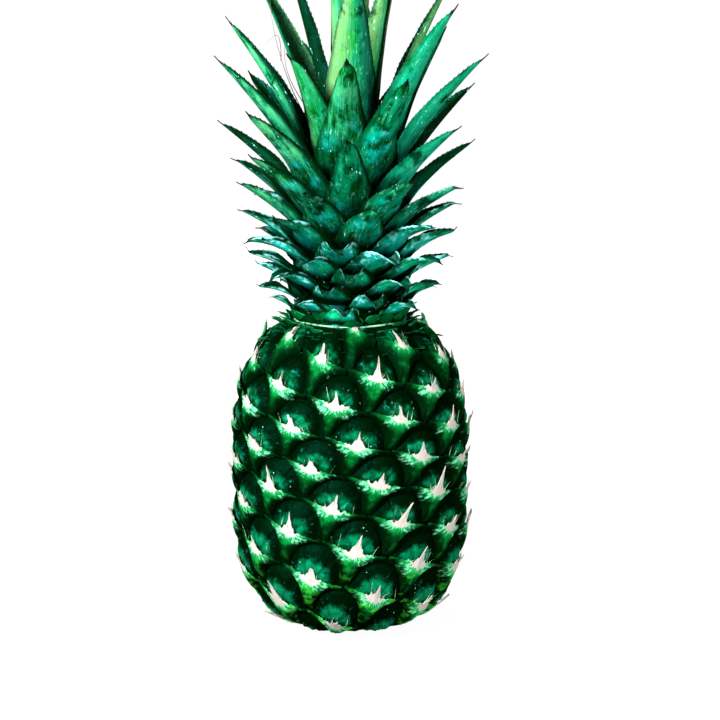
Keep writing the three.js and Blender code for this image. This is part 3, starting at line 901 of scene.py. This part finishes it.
def leaf_shape(k):
    """Points, faces and named values of one leaf with its teeth."""
    angle, base, tip, width = leaf_sizes(k)
    width *= BROAD_LEAVES.get(k, 1)
    low_front = max(0, -math.sin(angle)) * (1 - smooth(0.3, 0.55, k / CROWN_SPAN))
    t = np.linspace(0, 1, LEAF_ROWS)
    centre = leaf_midrib(base, tip, t)
    drop = TIP_DROP * (1 + 0.5 * uneven(k, 19)) * low_front * smooth(0.5, 1, (t[1:] + t[:-1]) / 2)
    stretch = np.diff(centre, axis=0)
    stretch = np.stack([stretch[:, 0] * np.cos(drop) + stretch[:, 1] * np.sin(drop),
                        stretch[:, 1] * np.cos(drop) - stretch[:, 0] * np.sin(drop)], axis=1)
    centre = np.concatenate([centre[:1], centre[0] + np.cumsum(stretch, axis=0)])
    tangent = np.gradient(centre, axis=0)
    tangent /= np.linalg.norm(tangent, axis=1, keepdims=True)
    half = width / 2 * (1 - t) ** LEAF_TAPER * (1 + 0.12 * np.sin(math.pi * t))
    half = np.maximum(np.minimum(half, 0.78 * centre[:, 0]), TIP_HALF_WIDTH)
    half = np.maximum(half * (1 - 0.55 * smooth(0.9, 0.985, t)), TIP_HALF_WIDTH)
    wrap = np.maximum(tangent[:, 1], 0.2) / np.maximum(centre[:, 0], 4)
    trough = GUTTER * (1 + 0.2 * uneven(k, 11))
    fold = trough * smooth(0.25, 0.7, t) / np.maximum(half, 2)
    bend = np.minimum(wrap + fold, 1.4 / np.maximum(half, 1))
    thick = LEAF_THICKNESS * (1 - 0.55 * t)
    sway = (4 * uneven(k, 9) + LEAF_LEANS.get(k, 0)) * t ** 2
    sway = sway + TIP_CURL * uneven(k, 12) * smooth(0.88, 1, t) ** 2
    skew = math.radians(7) * uneven(k, 10) * t
    along = np.concatenate([[0], np.cumsum(np.linalg.norm(np.diff(centre, axis=0), axis=1))])
    u = np.linspace(-1, 1, LEAF_COLUMNS)[None, :]
    half, bend, thick, sway, skew, along, t = (
        value[:, None] for value in (half, bend, thick, sway, skew, along, t))
    wave = 0.45 * np.abs(u) ** 3 * np.sin(along / 3.3 + 9 * uneven(k, 13) + 2 * np.sign(u))
    wave = wave * smooth(0.1, 0.3, t) * (1 - t)
    turn = u * half * bend
    across = np.sin(turn) / bend
    side = across * np.cos(skew) + sway
    hook = 2.4 * uneven(k, 18) * smooth(0.9, 1, t) ** 2 * (1 - smooth(0.5, 0.7, k / CROWN_SPAN))
    lift = (1 - np.cos(turn)) / bend + across * np.sin(skew) + wave + hook
    body = thick * (1 - u ** 2) + MARGIN_THICKNESS * (1 - 0.5 * t)
    ridge = 0.12 * np.cos(u * 9) * (1 - t) * smooth(0.0, 0.2, t)
    sheets = []
    for depth in (-ridge * (1 - u ** 2), body):
        radial = centre[:, :1] - (lift + depth) * tangent[:, 1:]
        height = centre[:, 1:] + (lift + depth) * tangent[:, :1]
        sheets.append(turn_out(angle, radial, side, height))
    full = np.ones((LEAF_ROWS, LEAF_COLUMNS))
    values = {"t": [t * full] * 2, "u": [u * full] * 2, "along": [along * full] * 2,
              "aside": [u * half] * 2, "inner": [0 * full, full]}
    parts = [(np.concatenate(sheets).reshape(-1, 3), slab_faces(LEAF_ROWS, LEAF_COLUMNS),
              {label: np.ravel(pair) for label, pair in values.items()})]
    parts += [leaf_teeth(k, along[:, 0], *sheets, way) for way in (-1, 1)]
    points, faces, values = join_parts(parts)
    for label, number in (("seed", 0.5 + 0.5 * uneven(k, 16)), ("young", min(k / CROWN_SPAN, 1)),
                          ("tone", LEAF_TONES.get(k, 0.0)), ("lime", LIME_LEAVES.get(k, 0.0))):
        values[label] = np.full(len(points), number)
    return points, faces, values


# Near-black, for bruises and for painted shade.
LEAF_BRUISE_AND_SHADE_COLOUR = (0.0002, 0.008, 0.0008)
LEAF_GREEN_COLOUR = (0.0003, 0.034, 0.003)
LEAF_TEAL_COLOUR = (0.0003, 0.102, 0.041)
LEAF_PALE_AND_PAINTED_LIGHT_COLOUR = (0.0015, 0.215, 0.09)
LEAF_FRESH_COLOUR = (0.004, 0.28, 0.145)
LEAF_LIME_COLOUR = (0.09, 0.46, 0.17)
LEAF_YOUNG_COLOUR = (0.001, 0.25, 0.024)
LEAF_COOL_COLOUR = (0.006, 0.18, 0.09)
LEAF_INNER_SHADE_COLOUR = (0.0002, 0.013, 0.0015)
HEART_PALE_AND_PAINTED_LIGHT_COLOUR = (0.12, 0.31, 0.1)
LEAF_PAINTED_LIGHT_TEAL_COLOUR = (0.0004, 0.46, 0.185)
LEAF_PAINTED_HIGHLIGHT_COLOUR = (0.05, 0.8, 0.82)
BLOOM_AND_SHEEN_COLOUR = (0.001, 0.4, 0.33)
MINT_COLOUR = (0.09, 0.56, 0.33)
# White, for real scratches and for painted sparkles.
SCRATCH_AND_HIGHLIGHT_COLOUR = (0.42, 0.95, 0.84)
MARGIN_HIGHLIGHT_COLOUR = (0.3, 0.9, 0.85)
DRY_COLOUR = (0.003, 0.009, 0.004)
WAX_SHEEN_COLOUR = (0.03, 0.75, 0.7, 1)

leaf_material, tree, surface = new_material("leaf")
t, u, along, aside, inner, seed, young, tone, limy = (known(tree, label) for label in LEAF_VALUES)
spread = sum_up("ABSOLUTE", u)
fibres = streaks(tree, aside, along, seed, 1.6, 0.04)
broad = streaks(tree, aside, along, seed, 0.17, 0.5)
blotch = times_plus(fibres, 0.35, broad)
colour = blend(ramp(blotch, 0.54, 0.78), LEAF_GREEN_COLOUR, LEAF_TEAL_COLOUR)
age = times_plus(t, 0.12, times_plus(fibres, 0.3, young))
colour = blend(ramp(age, 0.98, 1.2), colour, LEAF_YOUNG_COLOUR)
# Paler streaks in the middle of each leaf: partly its own paler green, partly painted light on the convex
# middle.
light = times_plus(fibres, 0.7, broad)
lime = times(ramp(light, 0.76, 1.06), ramp(t, 0.4, 0.8), limy)
light = times(ramp(light, 0.7, 1.02), ramp(t, 0.3, 0.75), ramp(spread, 1.0, 0.6))
colour = blend(times(light, 0.9), colour, LEAF_PALE_AND_PAINTED_LIGHT_COLOUR)
colour = blend(lime, colour, LEAF_LIME_COLOUR)
fresh = times(ramp(tone, 0.0, 1.0), ramp(blotch, 0.4, 0.75))
colour = blend(fresh, colour, LEAF_FRESH_COLOUR)
lowly = ramp(young, 0.5, 0.3)
# Bright teal patches on the low leaves' bodies: their own teal, made brighter as painted light.
painted_light_teal = times(lowly, ramp(cloud(tree, 75.0, 3.0), 0.4, 0.54))
painted_light_teal = lessened(painted_light_teal, ramp(t, 0.45, 0.8), 0.7)
colour = blend(painted_light_teal, colour, LEAF_PAINTED_LIGHT_TEAL_COLOUR)
# Heart leaves paler on one half: partly their young colour, partly painted light on the lit half.
pale = times_plus(fibres, 0.9, times(u, -0.8))
heart = ramp(young, 0.86, 0.92)
colour = blend(times(ramp(pale, 0.35, 0.95), heart), colour, HEART_PALE_AND_PAINTED_LIGHT_COLOUR)
cool = times_plus(fibres, 0.5, u)
colour = blend(times(ramp(cool, 0.25, 0.7), heart), colour, LEAF_COOL_COLOUR)
# Pale bloom patches: partly the leaf's own waxy powder, partly painted sheen, the more so on the low
# leaves' bodies.
bloom = times_plus(cloud(tree, 520.0, 4.0, 0.7), 0.35, cloud(tree, 85.0, 2.0))
bloom_and_sheen = lessened(ramp(bloom, 0.67, 0.95), lowly, 0.5)
# On the low leaves: patches of painted sheen and, on their shoulders, cyan painted highlights with white
# painted sparkles.
waxy = times_plus(fibres, 0.5, cloud(tree, 60.0, 2.0))
painted_highlight = times(ramp(waxy, 0.7, 0.82), ramp(young, 0.5, 0.3), ramp(t, 0.3, 0.5), ramp(spread, 0.25, 0.5))
fine = cloud(tree, 420.0, 3.0)
sparkle = times(painted_highlight, ramp(fine, 0.52, 0.6))
painted_highlight = times(painted_highlight, ramp(fine, 0.4, 0.6))
waxy = times(ramp(waxy, 0.66, 0.84), ramp(young, 0.6, 0.35))
bloom_and_sheen = times(bloom_and_sheen, sum_up("MAXIMUM", ramp(young, 0.92, 0.8), ramp(u, 0.2, 0.8)))
bloom_and_sheen = sum_up("MAXIMUM", bloom_and_sheen, waxy)
bloom_and_sheen = times(bloom_and_sheen, ramp(t, 0.85, 0.55), ramp(spread, 0.95, 0.5), ramp(t, 0.08, 0.25))
colour = blend(times(bloom_and_sheen, 0.85), colour, BLOOM_AND_SHEEN_COLOUR)
colour = blend(painted_highlight, colour, LEAF_PAINTED_HIGHLIGHT_COLOUR)
colour = blend(sparkle, colour, SCRATCH_AND_HIGHLIGHT_COLOUR)
worn = times_plus(cloud(tree, 900.0, 3.0, 0.7), 0.35, streaks(tree, aside, along, seed, 0.75, 0.22))
worn = times(ramp(worn, 0.74, 0.87), ramp(t, 0.2, 0.5))
colour = blend(times(worn, 0.45), colour, MINT_COLOUR)
bruise = times_plus(cloud(tree, 130.0, 5.0, 0.65), 0.7, times(broad, 0.4))
bruise = times(ramp(bruise, 0.53, 0.4), ramp(t, 0.25, 0.7))
colour = blend(times(bruise, 0.85), colour, LEAF_BRUISE_AND_SHADE_COLOUR)
# Darker towards each leaf's foot, where it comes out from behind the leaves below: painted shade.
foot = times_plus(minus(broad, 0.5), 0.25, t)
foot = times_plus(ramp(young, 0.35, 0.6), -0.07, foot)
colour = blend(ramp(foot, 0.46, 0.12), colour, LEAF_BRUISE_AND_SHADE_COLOUR)
# Leaves with a tone below zero darkened whole: painted shade.
colour = blend(ramp(tone, 0.0, -1.0), colour, LEAF_BRUISE_AND_SHADE_COLOUR)
# Dark margins, darker on one side than the other: painted shade along the leaf edges.
rim = times_plus(fibres, 0.25, times_plus(lowly, 0.12, spread))
rim = times(ramp(rim, 0.8, 1.08), times_plus(ramp(u, -0.3, 0.3), 0.4, 0.6))
colour = blend(rim, colour, LEAF_BRUISE_AND_SHADE_COLOUR)
scratch = times(ramp(streaks(tree, aside, along, seed, 0.85, 0.3), 0.66, 0.69),
                ramp(cloud(tree, 75.0, 2.0), 0.52, 0.6))
colour = blend(scratch, colour, SCRATCH_AND_HIGHLIGHT_COLOUR)
# Pale margins near the tips of the low leaves: painted highlights where the margins catch the light.
margin_highlight = times_plus(cloud(tree, 420.0, 3.0), 0.8, spread)
margin_highlight = times(ramp(margin_highlight, 1.2, 1.34), ramp(t, 0.5, 0.75), ramp(young, 0.62, 0.4),
               ramp(cloud(tree, 90.0, 2.0), 0.46, 0.58))
colour = blend(times(margin_highlight, 0.85), colour, MARGIN_HIGHLIGHT_COLOUR)
# Inner faces near-black: painted shade.
inner_shade = times(inner, ramp(spread, 1.05, 0.8))
colour = blend(times(inner_shade, 0.9), colour, LEAF_INNER_SHADE_COLOUR)
dry = times_plus(fibres, 0.06, t)
colour = blend(ramp(dry, 0.96, 0.995), colour, DRY_COLOUR)
feed(surface["Base Color"], colour)
rough = times_plus(ramp(cloud(tree, 110.0, 4.0), 0.4, 0.62), 0.3, 0.22)
feed(surface["Roughness"], rough)
feed(surface["Specular IOR Level"], 0.2)
feed(surface["Specular Tint"], WAX_SHEEN_COLOUR)
relief_detail = times_plus(broad, 2.0, times(fibres, 0.6))
relief_detail = times_plus(cloud(tree, 160.0, 4.0), 1.2, relief_detail)
add_bump(surface, relief_detail, 0.0009, 0.65)

for k in FREE_LEAVES:
    name = f"leaf_{k - BASAL_LEAVES + 1:02d}"
    leaf = make_piece(f"crown_{name}", leaf_material, *leaf_shape(k), 50)
    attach(leaf, "root")
    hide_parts(name)

# Crown fibres: three wiry brown strips that have peeled from leaf margins at
# the upper left and stand loose, rooted between the leaves.
FIBRE_RADIUS = 0.3
FIBRE_STEPS = 26
FIBRE_COLOUR = (0.17, 0.09, 0.065, 1)
FIBRE_PATHS = (
    ((-14, 12, 238), (-24.3, 18, 255.6), (-30, 18.5, 267.6), (-34.6, 18, 281), (-36.1, 17.5, 291.4),
     (-38.3, 18, 300.9), (-38.4, 18.5, 313)),
    ((-33.4, 18.2, 277), (-33.6, 18, 283), (-34.2, 18, 288.2), (-36.6, 18, 288.4), (-39, 18, 286.6),
     (-41.3, 18, 285.0)),
    ((-16, 14, 246), (-26, 18, 262), (-31, 18, 274), (-31.6, 18.5, 284), (-33.2, 18, 290)),
)

fibre_parts = []
for knots in FIBRE_PATHS:
    knots = np.array(knots, float)
    share = np.linspace(0, 1, len(knots))
    fine = np.linspace(0, 1, FIBRE_STEPS)
    path = np.stack([np.polyval(np.polyfit(share, knots[:, c], 4), fine) for c in range(3)], axis=-1)
    fibre_parts.append(tube_round(path, FIBRE_RADIUS))

fibre_material, tree, surface = new_material("crown_fibre")
feed(surface["Base Color"], FIBRE_COLOUR)
feed(surface["Roughness"], 0.75)
fibres_piece = make_piece("crown_fibres", fibre_material, *join_parts(fibre_parts))
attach(fibres_piece, "root")

# Crown base: the short stem core with the small lowest leaves and the young
# heart leaves grown together on it, and the dry rim where it joins the fruit.
CORE_SIDES = 72
RIM_RADIUS = 27.5
RIM_THICKNESS = 0.45
RIM_SIDES = 6
RIM_POINTS = 180

step = (BASAL_LEAVES + 0.3) / CROWN_SPAN
shares = step + (1 - step) * np.linspace(0, 1, 7)
core_base = FRUIT_HEIGHT + FIT_GAP
profile = [(0.4, core_base), (core_radius(0) + COLLAR_STAND, core_base),
           (core_radius(step) + COLLAR_STAND, core_base + CORE_HEIGHT * step)]
profile += [(core_radius(share) - 0.3, core_base + CORE_HEIGHT * share + 0.1) for share in shares]
core_turn = np.radians(np.arange(CORE_SIDES) * 360 / CORE_SIDES)
core_points = np.concatenate([points_round(radius, core_turn, z) for radius, z in profile])
core_values = {label: np.full(len(core_points), 0.0) for label in LEAF_VALUES}
core_values["seed"] += 0.3
heart_parts = [(core_points, closed_faces(len(profile), CORE_SIDES), core_values)]
heart_parts += [leaf_shape(k) for k in range(CROWN_LEAVES) if k not in FREE_LEAVES]
crown_base = make_piece("crown_heart", leaf_material, *join_parts(heart_parts), 50)
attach(crown_base, "root")
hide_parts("crown_base")

RIM_COLOUR = (0.22, 0.5, 0.3)
rim_material, tree, surface = new_material("dry_rim")
colour = blend(ramp(cloud(tree, 300.0, 3.0), 0.4, 0.6), BRACT_COLOUR, RIM_COLOUR)
feed(surface["Base Color"], colour)
feed(surface["Roughness"], 0.7)
rim_turn = np.radians(np.arange(RIM_POINTS) * 360 / RIM_POINTS)
rim_rings = []
for i in range(RIM_SIDES):
    tilt = 2 * math.pi * i / RIM_SIDES
    radius = RIM_RADIUS + 0.35 * np.sin(3 * rim_turn) + 0.2 * np.sin(11 * rim_turn)
    radius = radius + RIM_THICKNESS * math.cos(tilt)
    height = FRUIT_HEIGHT + 0.45 + 0.2 * np.sin(5 * rim_turn) + RIM_THICKNESS * math.sin(tilt)
    rim_rings.append(points_round(radius, rim_turn, height))
rim_faces = ring_faces(RIM_SIDES, RIM_POINTS)
low_ring = np.arange(RIM_POINTS)
top_ring = low_ring + (RIM_SIDES - 1) * RIM_POINTS
closing = (top_ring, np.roll(top_ring, -1), np.roll(low_ring, -1), low_ring)
rim_faces += np.stack(closing, axis=-1).tolist()
collar_rim = make_piece("collar_rim", rim_material, np.concatenate(rim_rings), rim_faces, {})
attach(collar_rim, "root")

# Studio: a white paper sweep, a key light at the upper left, softer lights in
# front, behind, above and low at the sides, and the camera where the photo
# was taken from. Lengths here are in metres, the camera's in millimetres.
SWEEP_HALF_WIDTH = 3.0
SWEEP_FRONT = -2.0
SWEEP_BACK = 1.6
SWEEP_BEND = 0.6
SWEEP_TOP = 2.6
CAMERA_PLACE = (0.0, -0.7634, 0.2871)
CAMERA_TILT = 11.48
CAMERA_TURN = 0.37
CAMERA_LENS = 79.0
CAMERA_SENSOR = 36.0

bend_turn = np.linspace(0, math.pi / 2, 12)
sweep_line = [(SWEEP_FRONT, 0.0)]
sweep_line += [(SWEEP_BACK + SWEEP_BEND * math.sin(a), SWEEP_BEND * (1 - math.cos(a))) for a in bend_turn]
sweep_line.append((SWEEP_BACK + SWEEP_BEND, SWEEP_TOP))
sweep_points = [(x / MM, y / MM, z / MM) for y, z in sweep_line
                for x in (-SWEEP_HALF_WIDTH, SWEEP_HALF_WIDTH)]
sweep_faces = [[2 * i, 2 * i + 1, 2 * i + 3, 2 * i + 2] for i in range(len(sweep_line) - 1)]
paper_material, tree, surface = new_material("paper_sweep")
feed(surface["Base Color"], (0.08, 0.08, 0.08, 1))
feed(surface["Roughness"], 0.9)
feed(surface["Emission Color"], (1, 1, 1, 1))
seen = tree.nodes.new("ShaderNodeLightPath").outputs["Is Camera Ray"]
feed(surface["Emission Strength"], times_plus(seen, 0.82, 0.14))
sweep = make_piece("paper_sweep", paper_material, sweep_points, sweep_faces, {})
sweep.visible_glossy = False


def add_light(name, place, aim, size, power, mirrored=False):
    light = bpy.data.lights.new(name, "AREA")
    light.shape = "DISK"
    light.size = size
    light.energy = power
    lamp = bpy.data.objects.new(name, light)
    lamp.location = place
    lamp.visible_glossy = mirrored
    lamp.rotation_euler = (Vector(aim) - Vector(place)).to_track_quat("-Z", "Y").to_euler()
    bpy.context.scene.collection.objects.link(lamp)


add_light("key", (-0.68, -0.87, 0.83), (0, 0, 0.16), 0.36, 54, True)
add_light("top", (-0.1, 0.4, 1.5), (0, 0, 0.1), 0.8, 9)
add_light("back", (0.1, 1.5, 0.3), (0, 0, 0.18), 0.9, 24)
add_light("front", (0.4, -1.2, 0.05), (0, 0, 0.17), 0.5, 25)
add_light("right side", (1.25, -0.3, 0.05), (0, 0, 0.06), 0.5, 13)
add_light("left side", (-1.25, 0.1, 0.05), (0, 0, 0.06), 0.5, 9)

world = bpy.data.worlds.new("studio")
world.use_nodes = True
sky = world.node_tree.nodes["Background"].inputs
feed(sky["Color"], (1, 1, 1, 1))
seen = world.node_tree.nodes.new("ShaderNodeLightPath").outputs["Is Camera Ray"]
feed(sky["Strength"], times_plus(seen, 0.95, 0.05))
bpy.context.scene.world = world
world.cycles_visibility.glossy = False
bpy.context.scene.view_settings.view_transform = "Standard"

camera_data = bpy.data.cameras.new("camera")
camera_data.lens = CAMERA_LENS
camera_data.sensor_width = CAMERA_SENSOR
camera = bpy.data.objects.new("camera", camera_data)
camera.location = CAMERA_PLACE
camera.rotation_euler = (math.radians(90 - CAMERA_TILT), 0, math.radians(-CAMERA_TURN))
bpy.context.scene.collection.objects.link(camera)
bpy.context.scene.camera = camera
